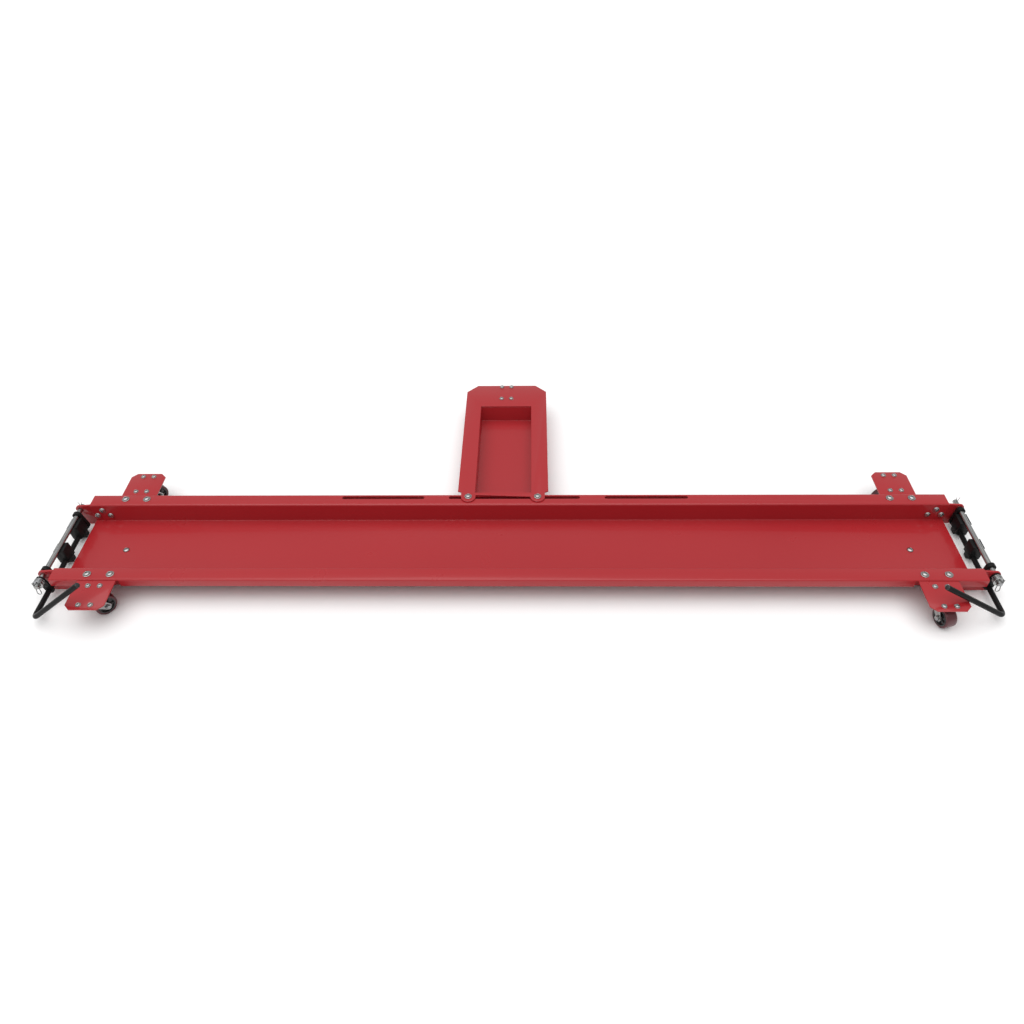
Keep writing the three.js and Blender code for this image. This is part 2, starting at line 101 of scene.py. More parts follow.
# ------------------------------------------------------------------------------ workshop tools
class Workshop:
    """Modelling operators, each run on one object with all others deselected."""

    @staticmethod
    def pick(piece: bpy.types.Object) -> None:
        """Make one object the only selected and active one."""
        bpy.ops.object.select_all(action="DESELECT")
        piece.select_set(True)
        bpy.context.view_layer.objects.active = piece

    @staticmethod
    @contextmanager
    def editing(piece: bpy.types.Object) -> Iterable[bpy.types.Object]:
        """Hold an object in edit mode with everything in it selected.

        Args:
            piece: The mesh object to edit.
        """
        Workshop.pick(piece)
        bpy.ops.object.mode_set(mode="EDIT")
        bpy.ops.mesh.select_all(action="SELECT")
        try:
            yield piece
        finally:
            bpy.ops.object.mode_set(mode="OBJECT")

    @staticmethod
    def select_faces(piece: bpy.types.Object, wanted: Callable[[bmesh.types.BMFace], bool]) -> None:
        """Select, in edit mode, only the faces that pass a test.

        Args:
            piece: The object in edit mode.
            wanted: Says of a face whether it is to be selected.
        """
        bpy.ops.mesh.select_mode(type="FACE")
        bpy.ops.mesh.select_all(action="DESELECT")
        shape = bmesh.from_edit_mesh(piece.data)
        for face in shape.faces:
            face.select_set(wanted(face))
        bmesh.update_edit_mesh(piece.data)

    @staticmethod
    def settle(piece: bpy.types.Object) -> bpy.types.Object:
        """Put an object's place and turn into its mesh and leave the object at the origin."""
        Workshop.pick(piece)
        bpy.ops.object.transform_apply(location=True, rotation=True, scale=True)
        return piece

    @staticmethod
    def close(piece: bpy.types.Object, distance: float = 1e-6) -> bpy.types.Object:
        """Merge doubled points and turn all faces outwards.

        Args:
            piece: The mesh object.
            distance: Points nearer than this become one, in metres.

        Returns:
            The same object.
        """
        with Workshop.editing(piece):
            bpy.ops.mesh.remove_doubles(threshold=distance)
            bpy.ops.mesh.normals_make_consistent(inside=False)
        return piece

    @staticmethod
    def modify(piece: bpy.types.Object, kind: str, **settings: object) -> bpy.types.Object:
        """Add a modifier, set it and apply it.

        Args:
            piece: The mesh object.
            kind: The modifier's type, such as BEVEL.
            settings: Its settings by name.

        Returns:
            The same object.
        """
        modifier = piece.modifiers.new(kind.title(), kind)
        for name, value in settings.items():
            setattr(modifier, name, value)
        Workshop.pick(piece)
        bpy.ops.object.modifier_apply(modifier=modifier.name)
        return piece

    @staticmethod
    def shade(piece: bpy.types.Object, angle: float) -> None:
        """Shade an object smooth but for the edges sharper than an angle, in degrees."""
        Workshop.pick(piece)
        bpy.ops.object.shade_smooth_by_angle(angle=math.radians(angle))

    @staticmethod
    def round_edges(
        piece: bpy.types.Object, width: float, segments: int = 2, angle: float = 32.0
    ) -> bpy.types.Object:
        """Round the edges sharper than an angle, then shade the rest smooth.

        Args:
            piece: The mesh object.
            width: How far the rounding reaches from the edge, in metres.
            segments: How many faces make the rounding.
            angle: Edges turning by less than this stay, in degrees.

        Returns:
            The same object.
        """
        Workshop.modify(
            piece,
            "BEVEL",
            width=width,
            segments=segments,
            limit_method="ANGLE",
            angle_limit=math.radians(angle),
            use_clamp_overlap=True,
            harden_normals=False,
        )
        Workshop.shade(piece, angle)
        return piece

    @staticmethod
    def cylinder(
        name: str, radius: float, low: float, high: float, sides: int = 48
    ) -> bpy.types.Object:
        """Add an upright cylinder about the Z axis.

        Args:
            name: The piece's name.
            radius: Its radius, in metres.
            low: The height of its lower face.
            high: The height of its upper face.
            sides: How many sides it has.

        Returns:
            The new object.
        """
        bpy.ops.object.select_all(action="DESELECT")
        bpy.ops.mesh.primitive_cylinder_add(
            vertices=sides, radius=radius, depth=high - low, location=(0, 0, (low + high) / 2)
        )
        piece = bpy.context.active_object
        piece.name = name
        return Workshop.settle(piece)

    @staticmethod
    def block(name: str, low: Vector, high: Vector) -> bpy.types.Object:
        """Add a rectangular block between two corners.

        Args:
            name: The piece's name.
            low: Its lowest corner.
            high: Its highest corner.

        Returns:
            The new object.
        """
        bpy.ops.object.select_all(action="DESELECT")
        bpy.ops.mesh.primitive_cube_add(size=1, location=(low + high) / 2)
        piece = bpy.context.active_object
        piece.name = name
        piece.scale = high - low
        return Workshop.settle(piece)

    @staticmethod
    def spun(
        name: str, profile: Profile, steps: int = 48, closed: bool = False
    ) -> bpy.types.Object:
        """Spin a profile about the Z axis.

        Args:
            name: The piece's name.
            profile: Pairs of radius and height, in millimetres.
            steps: How many steps make the turn.
            closed: Whether the profile's last point joins its first, as in a ring.

        Returns:
            The new object.
        """
        points = [(radius * MM, 0.0, height * MM) for radius, height in profile]
        count = len(points)
        edges = [(i, (i + 1) % count) for i in range(count if closed else count - 1)]
        mesh = bpy.data.meshes.new(name)
        mesh.from_pydata(points, edges, [])
        piece = bpy.data.objects.new(name, mesh)
        bpy.context.scene.collection.objects.link(piece)
        with Workshop.editing(piece):
            bpy.ops.mesh.spin(steps=steps, angle=2 * math.pi, center=(0, 0, 0), axis=(0, 0, 1))
        return Workshop.close(piece)

    @staticmethod
    def join(name: str, parts: Sequence[bpy.types.Object]) -> bpy.types.Object:
        """Join several objects into the first, under a new name."""
        bpy.ops.object.select_all(action="DESELECT")
        for part in parts:
            part.select_set(True)
        bpy.context.view_layer.objects.active = parts[0]
        bpy.ops.object.join()
        parts[0].name = name
        return parts[0]

    @staticmethod
    def copy(master: bpy.types.Object, name: str, place: Matrix) -> bpy.types.Object:
        """Copy a modelled piece, with its own mesh, to a place.

        Args:
            master: The piece to copy.
            name: The copy's name.
            place: Where the master's origin and axes go.

        Returns:
            The copy, whose object is at the origin.
        """
        mesh = master.data.copy()
        mesh.transform(place)
        piece = bpy.data.objects.new(name, mesh)
        bpy.context.scene.collection.objects.link(piece)
        return piece

    @staticmethod
    def discard(*masters: bpy.types.Object) -> None:
        """Delete the masters once their copies are in place."""
        for master in masters:
            bpy.data.objects.remove(master)


def from_node(name: str, node: str) -> bpy.types.Object:
    """Copy a CAD node's mesh as a new piece, with its triangles merged into whole faces.

    Args:
        name: The piece's name.
        node: The CAD node's name.

    Returns:
        The new object.
    """
    piece = bpy.data.objects.new(name, frame["nodes"][node].data.copy())
    bpy.context.scene.collection.objects.link(piece)
    piece.data.materials.clear()
    with Workshop.editing(piece):
        bpy.ops.mesh.remove_doubles(threshold=1e-6)
        bpy.ops.mesh.dissolve_limited(angle_limit=math.radians(0.5))
    return piece


# ------------------------------------------------------------------------------ finishes
class NodeBench:
    """A new material with its shader, and short calls for the nodes that feed it."""

    def __init__(self, name: str) -> None:
        """Start a material whose only nodes are its output and its shader."""
        self.material = bpy.data.materials.new(name)
        self.material.use_nodes = True
        self.nodes = self.material.node_tree.nodes
        self.links = self.material.node_tree.links
        self.shader = self.nodes["Principled BSDF"]
        self.coordinates = self.nodes.new("ShaderNodeTexCoord").outputs["Object"]

    def constant(self, **values: object) -> None:
        """Set the shader's own sockets; an underscore in a name stands for a space."""
        for name, value in values.items():
            self.shader.inputs[name.replace("_", " ")].default_value = value

    def noise(
        self, scale: float, detail: float = 3.0, stretch: tuple[float, float, float] = (1, 1, 1)
    ) -> bpy.types.NodeSocket:
        """Noise over object coordinates.

        Args:
            scale: Waves per metre, roughly.
            detail: How many finer layers it has.
            stretch: Factors on each axis before the noise is read.

        Returns:
            The noise's factor output.
        """
        mapping = self.nodes.new("ShaderNodeMapping")
        mapping.inputs["Scale"].default_value = stretch
        texture = self.nodes.new("ShaderNodeTexNoise")
        texture.inputs["Scale"].default_value = scale
        texture.inputs["Detail"].default_value = detail
        self.links.new(self.coordinates, mapping.inputs["Vector"])
        self.links.new(mapping.outputs["Vector"], texture.inputs["Vector"])
        return texture.outputs["Fac"]

    def spread(
        self, factor: bpy.types.NodeSocket, low: float, high: float, tight: float = 0.25
    ) -> bpy.types.NodeSocket:
        """Map the middle of a noise to a range of values.

        Args:
            factor: The noise.
            low: The value at the noise's low side.
            high: The value at its high side.
            tight: How far from 0 and 1 the noise is clipped.

        Returns:
            The mapped value.
        """
        node = self.nodes.new("ShaderNodeMapRange")
        node.inputs["From Min"].default_value = tight
        node.inputs["From Max"].default_value = 1 - tight
        node.inputs["To Min"].default_value = low
        node.inputs["To Max"].default_value = high
        self.links.new(factor, node.inputs["Value"])
        return node.outputs["Result"]

    def tint(
        self, factor: bpy.types.NodeSocket, one: Sequence[float], other: Sequence[float]
    ) -> bpy.types.NodeSocket:
        """Blend two linear colours by a factor.

        Args:
            factor: The blend, 0 for the first colour.
            one: Red, green and blue of the first.
            other: Red, green and blue of the second.

        Returns:
            The blended colour.
        """
        node = self.nodes.new("ShaderNodeMix")
        node.data_type = "RGBA"
        node.inputs["A"].default_value = (*one, 1)
        node.inputs["B"].default_value = (*other, 1)
        self.links.new(factor, node.inputs["Factor"])
        return node.outputs["Result"]

    def feed(self, socket: str, source: bpy.types.NodeSocket) -> None:
        """Link a value to one of the shader's sockets."""
        self.links.new(source, self.shader.inputs[socket])

    def bump(self, height: bpy.types.NodeSocket, strength: float, distance: float) -> None:
        """Drive the shader's normal by a height.

        Args:
            height: The height, from 0 to 1.
            strength: How much of the bump shows.
            distance: The height's size in metres.
        """
        node = self.nodes.new("ShaderNodeBump")
        node.inputs["Strength"].default_value = strength
        node.inputs["Distance"].default_value = distance
        self.links.new(height, node.inputs["Height"])
        self.links.new(node.outputs["Normal"], self.shader.inputs["Normal"])


@dataclass(frozen=True)
class PowderCoat:
    """Baked paint: slightly uneven colour and an orange-peel surface under a clear gloss."""

    name: str
    slot: Slot
    colour: tuple[float, float, float]
    patch: tuple[float, float, float]
    roughness: tuple[float, float]
    coat: float
    coat_roughness: float
    peel: float
    specular: float = 0.5

    def material(self) -> bpy.types.Material:
        """Build the material."""
        bench = NodeBench(self.name)
        cloud = bench.spread(bench.noise(2.2, 4.0), 0.0, 1.0)
        bench.feed("Base Color", bench.tint(cloud, self.colour, self.patch))
        bench.feed("Roughness", bench.spread(bench.noise(9.0, 5.0), *self.roughness))
        bench.constant(
            Coat_Weight=self.coat,
            Coat_Roughness=self.coat_roughness,
            Specular_IOR_Level=self.specular,
        )
        bench.bump(bench.noise(420.0, 2.0), self.peel, 0.00025)
        return bench.material


@dataclass(frozen=True)
class ZincPlate:
    """Bright zinc plate: bluish grey metal with faint yellowish clouds and fine drawn lines."""

    name: str = "bright_zinc_plate"
    slot: Slot = Slot.ZINC
    roughness: tuple[float, float] = (0.16, 0.34)
    grain: tuple[float, float, float] = (1.0, 1.0, 1.0)
    tone: float = 0.37

    def material(self) -> bpy.types.Material:
        """Build the material."""
        bench = NodeBench(self.name)
        cloud = bench.spread(bench.noise(60.0, 3.0), 0.0, 1.0)
        cool = (0.97 * self.tone, self.tone, 1.04 * self.tone)
        warm = (1.08 * self.tone, 1.06 * self.tone, self.tone)
        bench.feed("Base Color", bench.tint(cloud, cool, warm))
        bench.feed("Roughness", bench.spread(bench.noise(240.0, 4.0, self.grain), *self.roughness))
        bench.constant(Metallic=1.0)
        bench.bump(bench.noise(900.0, 2.0, self.grain), 0.12, 0.00008)
        return bench.material


@dataclass(frozen=True)
class Moulding:
    """Moulded plastic or rubber: one colour with slight clouding and a fine texture."""

    name: str
    slot: Slot
    colour: tuple[float, float, float]
    patch: tuple[float, float, float]
    roughness: tuple[float, float]
    texture: float
    gloss: float = 0.0

    def material(self) -> bpy.types.Material:
        """Build the material."""
        bench = NodeBench(self.name)
        cloud = bench.spread(bench.noise(45.0, 4.0), 0.0, 1.0)
        bench.feed("Base Color", bench.tint(cloud, self.colour, self.patch))
        bench.feed("Roughness", bench.spread(bench.noise(130.0, 4.0), *self.roughness))
        bench.constant(Coat_Weight=self.gloss, Coat_Roughness=0.12)
        bench.bump(bench.noise(1100.0, 3.0), self.texture, 0.00015)
        return bench.material


class Paintshop:
    """All finishes, each made once and put on pieces by name."""

    def __init__(self) -> None:
        """Make every finish."""
        self.finishes = {
            "red": PowderCoat(
                "gloss_red_powder_coat", Slot.RED, (0.380, 0.017, 0.022), (0.355, 0.014, 0.019),
                (0.26, 0.34), 0.3, 0.07, 0.05, 0.3,
            ),
            "black": PowderCoat(
                "semi_gloss_black_powder_coat", Slot.BLACK, (0.007, 0.007, 0.0075),
                (0.011, 0.011, 0.011), (0.34, 0.46), 0.05, 0.2, 0.25, 0.1,
            ),
            "zinc": ZincPlate(),
            "drawn_zinc": ZincPlate("drawn_zinc_rod", grain=(1.0, 0.08, 1.0), tone=0.33),
            "core": Moulding(
                "black_nylon_core", Slot.WHEEL, (0.012, 0.012, 0.013), (0.018, 0.017, 0.017),
                (0.25, 0.38), 0.10, 0.3,
            ),
            "tread": Moulding(
                "dark_red_polyurethane_tread", Slot.WHEEL, (0.095, 0.012, 0.018),
                (0.070, 0.009, 0.013), (0.26, 0.4), 0.12, 0.1,
            ),
            "rubber": Moulding(
                "black_rubber", Slot.RUBBER, (0.014, 0.014, 0.014), (0.022, 0.021, 0.021),
                (0.65, 0.85), 0.45,
            ),
            "cap": Moulding(
                "black_end_plug", Slot.BLACK, (0.016, 0.016, 0.017), (0.022, 0.022, 0.022),
                (0.35, 0.5), 0.15,
            ),
        }
        self.materials = {key: finish.material() for key, finish in self.finishes.items()}

    def dress(
        self, piece: bpy.types.Object, key: str, body: str, replaced: Sequence[str] = ()
    ) -> bpy.types.Object:
        """Finish a piece and hang it on its body.

        Args:
            piece: The finished mesh object.
            key: The finish's key.
            body: The CAD body that it moves with.
            replaced: The CAD nodes that it stands for.

        Returns:
            The same object.
        """
        piece.data.materials.clear()
        piece.data.materials.append(self.materials[key])
        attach(piece, body)
        if replaced:
            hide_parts(*replaced)
        LOG.info("%s on %s in %s: %d faces", piece.name, body, key, len(piece.data.polygons))
        return piece


# ------------------------------------------------------------------------------ datum
@dataclass(frozen=True)
class Datum:
    """Gauges that the sub-assemblies share, and places read from the CAD frame."""

    sheet: float = 3.0 * MM
    gap: float = 0.3 * MM
    arm: float = 5.0 * MM
    plate_gauge: float = 2.5 * MM

    @property
    def middle(self) -> float:
        """Y of the channel's centre line."""
        low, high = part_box("channel")
        return (low.y + high.y) / 2

    @property
    def flange_top(self) -> float:
        """Z of the flanges' top."""
        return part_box("channel")[1].z

    @property
    def floor_top(self) -> float:
        """Z of the wheel track."""
        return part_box("outrigger_saddle_left")[0].z + 2 * self.sheet + self.gap

    @property
    def wall_inside(self) -> float:
        """Distance from the centre line to a wall's inside face."""
        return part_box("axle_arm_far_left")[0].y - self.middle - self.sheet - self.gap

    def swivel(self, place: Place) -> Vector:
        """Where a caster's swivel axis meets the top of its mounting plate."""
        low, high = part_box(f"caster_plate_{place.value}")
        return Vector(((low.x + high.x) / 2, (low.y + high.y) / 2, high.z))


def joint_named(name: str) -> dict:
    """The record's joint of that name."""
    return next(joint for joint in frame["joints"] if joint["name"] == name)


# ------------------------------------------------------------------------------ fasteners
@dataclass(frozen=True)
class ScrewSize:
    """One size of button-head socket screw with its washer and nut, in millimetres."""

    thread: float
    head: float
    head_height: float
    socket: float
    washer: float
    washer_gauge: float
    nut: float
    nut_height: float


class Fasteners:
    """Button-head screws through every bolted joint, each with its nut and thread end, and a washer
    where its size has one.
    """

    M8 = ScrewSize(8.0, 14.4, 4.6, 5.0, 18.0, 1.6, 13.0, 6.2)
    M8_PLAIN = ScrewSize(8.0, 14.8, 4.6, 5.0, 0.0, 0.0, 13.0, 6.2)
    M6 = ScrewSize(6.0, 10.6, 3.4, 4.0, 12.4, 1.2, 10.0, 4.8)
    NUT_GAP = 0.15 * MM
    THREAD_PAST_NUT = 2.2
    WING_SPREAD = (26.5 * MM, 125 * MM)  # half the distance between seats, along X and Y
    CASTER_SPREAD = (13.5 * MM, 28 * MM)
    FLOOR_SHIFT = 2 * MM  # the floor bolt sits this much inboard of its saddle's middle
    WALL_SEATS = ((1023.5, 17.0), (1008.0, 34.0), (1040.3, 34.0))  # X, and drop below the flange
    SPIN_STEP = 37  # each bolt's socket is turned this much further than the last one's

    def __init__(self, datum: Datum, shop: Paintshop) -> None:
        """Keep what every fastener needs."""
        self.datum = datum
        self.shop = shop

    def head(self, size: ScrewSize) -> bpy.types.Object:
        """Model a domed head, with a six-sided socket, whose seat is at Z = 0.

        Args:
            size: The screw's size.

        Returns:
            The head.
        """
        base = size.washer_gauge
        radius, top = size.head / 2, base + size.head_height
        dome = [
            (radius * math.cos(angle), base + 0.9 + (size.head_height - 0.9) * math.sin(angle))
            for angle in (math.radians(step) for step in (0, 12, 24, 36, 48, 58))
        ]
        corner = size.socket / 2 / math.cos(math.radians(30))
        deep = top - 0.6 * size.head_height
        profile = [(0, base), (radius, base), *dome, (corner + 0.5, top - 0.08)]
        profile += [(corner, top - 0.25), (corner, deep), (0, deep - 0.4)]
        piece = Workshop.spun("screw_head", profile, steps=24)
        self.flatten_socket(piece, corner, deep)
        return piece

    @staticmethod
    def flatten_socket(piece: bpy.types.Object, corner: float, deep: float) -> None:
        """Pull the round socket's points in to six flats.

        Args:
            piece: The head.
            corner: The socket's radius at its corners, in millimetres.
            deep: The height of its bottom, in millimetres.
        """
        for vertex in piece.data.vertices:
            radius = math.hypot(vertex.co.x, vertex.co.y)
            if abs(radius - corner * MM) > 1e-5 or vertex.co.z < deep * MM - 1e-5:
                continue
            turn = math.degrees(math.atan2(vertex.co.y, vertex.co.x)) % 60
            factor = math.cos(math.radians(30)) / math.cos(math.radians(turn - 30))
            vertex.co.x *= factor
            vertex.co.y *= factor

    def nut(self, size: ScrewSize, seat: float) -> bpy.types.Object:
        """Model a chamfered hexagon nut that hangs below a height.

        Args:
            size: The screw's size.
            seat: The height that the nut is tightened against, in metres.

        Returns:
            The nut.
        """
        across = size.nut / 2 / math.cos(math.radians(30)) * MM
        piece = Workshop.cylinder("screw_nut", across, seat - size.nut_height * MM, seat, sides=6)
        with Workshop.editing(piece):
            Workshop.select_faces(piece, lambda face: abs(face.normal.z) > 0.9)
            bpy.ops.mesh.inset(thickness=0.09 * across)
        for vertex in piece.data.vertices:
            if math.hypot(vertex.co.x, vertex.co.y) > 0.97 * across:
                middle = seat - size.nut_height * MM / 2
                vertex.co.z = middle + (vertex.co.z - middle) * 0.86
        return Workshop.round_edges(piece, 0.25 * MM, 2, 20)

    def threaded_end(self, size: ScrewSize, start: float, length: float) -> bpy.types.Object:
        """Model the thread that shows past the nut, with a chamfered tip.

        Args:
            size: The screw's size.
            start: The height where the shank starts, in metres.
            length: Its length downwards, in metres.

        Returns:
            The shank with its thread.
        """
        radius, pitch = size.thread / 2, 1.25 if size.thread > 7 else 1.0
        top = start / MM
        low = top - length / MM
        profile = [(0.0, top), (radius * 0.86, top)]
        turns = int((top - low - 1.2) / pitch)
        for turn in range(turns):
            crest = top - (turn + 0.5) * pitch
            profile += [(radius * 0.98, crest), (radius * 0.86, crest - pitch / 2)]
        profile += [(radius * 0.72, low), (0.0, low)]
        return Workshop.spun("screw_thread", profile, steps=20)

    def assembly(self, name: str, size: ScrewSize, grip: float) -> bpy.types.Object:
        """Model one whole screw, seat at Z = 0 and pointing down.

        Args:
            name: The master's name.
            size: The screw's size.
            grip: The thickness that it clamps, in metres.

        Returns:
            The master.
        """
        parts = [self.head(size)]
        if size.washer:
            washer = Workshop.cylinder(
                "screw_washer", size.washer / 2 * MM, 0.0, size.washer_gauge * MM, sides=40
            )
            parts.append(Workshop.round_edges(washer, 0.3 * MM, 2))
        parts.append(self.nut(size, -grip - self.NUT_GAP))
        length = grip + (size.nut_height + self.THREAD_PAST_NUT) * MM
        parts.append(self.threaded_end(size, 0.2 * MM, length))
        master = Workshop.join(name, parts)
        Workshop.shade(master, 28)
        return master

    def fit(
        self, master: bpy.types.Object, stem: str, body: str, seats: Iterable[tuple[Vector, Matrix]]
    ) -> None:
        """Copy a screw to every seat.

        Args:
            master: The modelled screw.
            stem: What the copies' names start with.
            body: The CAD body that they ride on.
            seats: Where the seat is, and how the screw is turned there.
        """
        for number, (seat, turn) in enumerate(seats, start=1):
            spin = Matrix.Rotation(math.radians(self.SPIN_STEP * number), 4, "Z")
            at = Matrix.Translation(seat) @ turn @ spin
            piece = Workshop.copy(master, f"{stem}_{number}", at)
            self.shop.dress(piece, "zinc", body)

    def build(self) -> None:
        """Fit every screw of the dolly."""
        datum = self.datum
        upright = Matrix.Identity(4)
        two_sheets = 2 * datum.sheet + datum.gap
        caster_grip = datum.sheet + datum.gap + datum.plate_gauge
        wide, deep = self.WING_SPREAD
        wing = self.assembly("wing_screw", self.M8, two_sheets)
        floor = self.assembly("floor_screw", self.M8_PLAIN, two_sheets)
        wall = self.assembly("wall_screw", self.M8_PLAIN, datum.sheet + datum.gap + datum.arm)
        small = self.assembly("caster_screw", self.M6, caster_grip)
        for side in Side:
            low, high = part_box(f"outrigger_saddle_{side.value}")
            middle = (low.x + high.x) / 2
            seats = [
                (Vector((middle + dx, datum.middle + dy, datum.flange_top)), upright)
                for dx in (-wide, wide)
                for dy in (-deep, deep)
            ]
            self.fit(wing, f"wing_bolt_{side.value}", "frame", seats)
            inboard = middle - side.sign * self.FLOOR_SHIFT
            seat = Vector((inboard, datum.middle, datum.floor_top))
            self.fit(floor, f"floor_bolt_{side.value}", "frame", [(seat, upright)])
            self.fit(wall, f"arm_bolt_{side.value}", "frame", self.wall_seats(side))
        for place in Place:
            self.fit(small, f"caster_bolt_{place.value}", place.body, self.caster_seats(place))
        self.fit_support(wing)
        Workshop.discard(wing, floor, wall, small)

    def wall_seats(self, side: Side) -> list[tuple[Vector, Matrix]]:
        """Three seats on the inside of each wall, where the arms are bolted.

        Args:
            side: The end of the channel.

        Returns:
            Six seats, with the heads pointing into the channel.
        """
        seats = []
        for wall in (-1, 1):
            turn = Matrix.Rotation(math.radians(90 * wall), 4, "X")
            y = self.datum.middle + wall * self.datum.wall_inside
            for x, drop in self.WALL_SEATS:
                z = self.datum.flange_top - drop * MM
                seats.append((Vector((side.sign * x * MM, y, z)), turn))
        return seats

    def caster_seats(self, place: Place) -> list[tuple[Vector, Matrix]]:
        """Four seats over a caster's mounting plate.

        Args:
            place: The caster.

        Returns:
            Its four seats.
        """
        centre = self.datum.swivel(place)
        top = centre.z + self.datum.gap + self.datum.sheet
        wide, deep = self.CASTER_SPREAD
        return [
            (Vector((centre.x + dx, centre.y + dy, top)), Matrix.Identity(4))
            for dx in (-wide, wide)
            for dy in (-deep, deep)
        ]

    def fit_support(self, master: bpy.types.Object) -> None:
        """Fit the two screws that clamp the kickstand support in the flange's slot."""
        for end in Side:
            node = f"kick_bolt_{end.value}"
            low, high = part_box(node)
            seat = Vector(((low.x + high.x) / 2, (low.y + high.y) / 2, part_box("kick_plate")[1].z))
            piece = Workshop.copy(master, f"support_bolt_{end.value}", Matrix.Translation(seat))
            self.shop.dress(piece, "zinc", "kick_support", [node])


# ------------------------------------------------------------------------------ painted sheet work
@dataclass
class SheetWork:
    """The folded and flat painted sheet parts, with their cut edges rounded."""

    shop: Paintshop
    edge: float = 0.6 * MM
    tray_edge: float = 1.4 * MM

    def build(self) -> None:
        """Make the channel, the saddles, the arms and the kickstand support."""
        self.part("channel_sheet", "channel", "frame", self.edge)
        for side in Side:
            saddle = f"outrigger_saddle_{side.value}"
            self.part(f"{saddle}_sheet", saddle, "frame", self.edge)
            for reach in ("near", "far"):
                arm = f"axle_arm_{reach}_{side.value}"
                self.part(f"{arm}_plate", arm, "frame", self.edge)
        self.part("support_plate", "kick_plate", "kick_support", self.edge)
        self.part("support_tray", "kick_tray", "kick_support", self.tray_edge)

    def part(self, name: str, node: str, body: str, edge: float) -> None:
        """Round a CAD sheet part's edges and paint it red.

        Args:
            name: The piece's name.
            node: The CAD node that it stands for.
            body: The body that it moves with.
            edge: The rounding of its edges, in metres.
        """
        piece = Workshop.round_edges(from_node(name, node), edge, 3)
        self.shop.dress(piece, "red", body, [node])


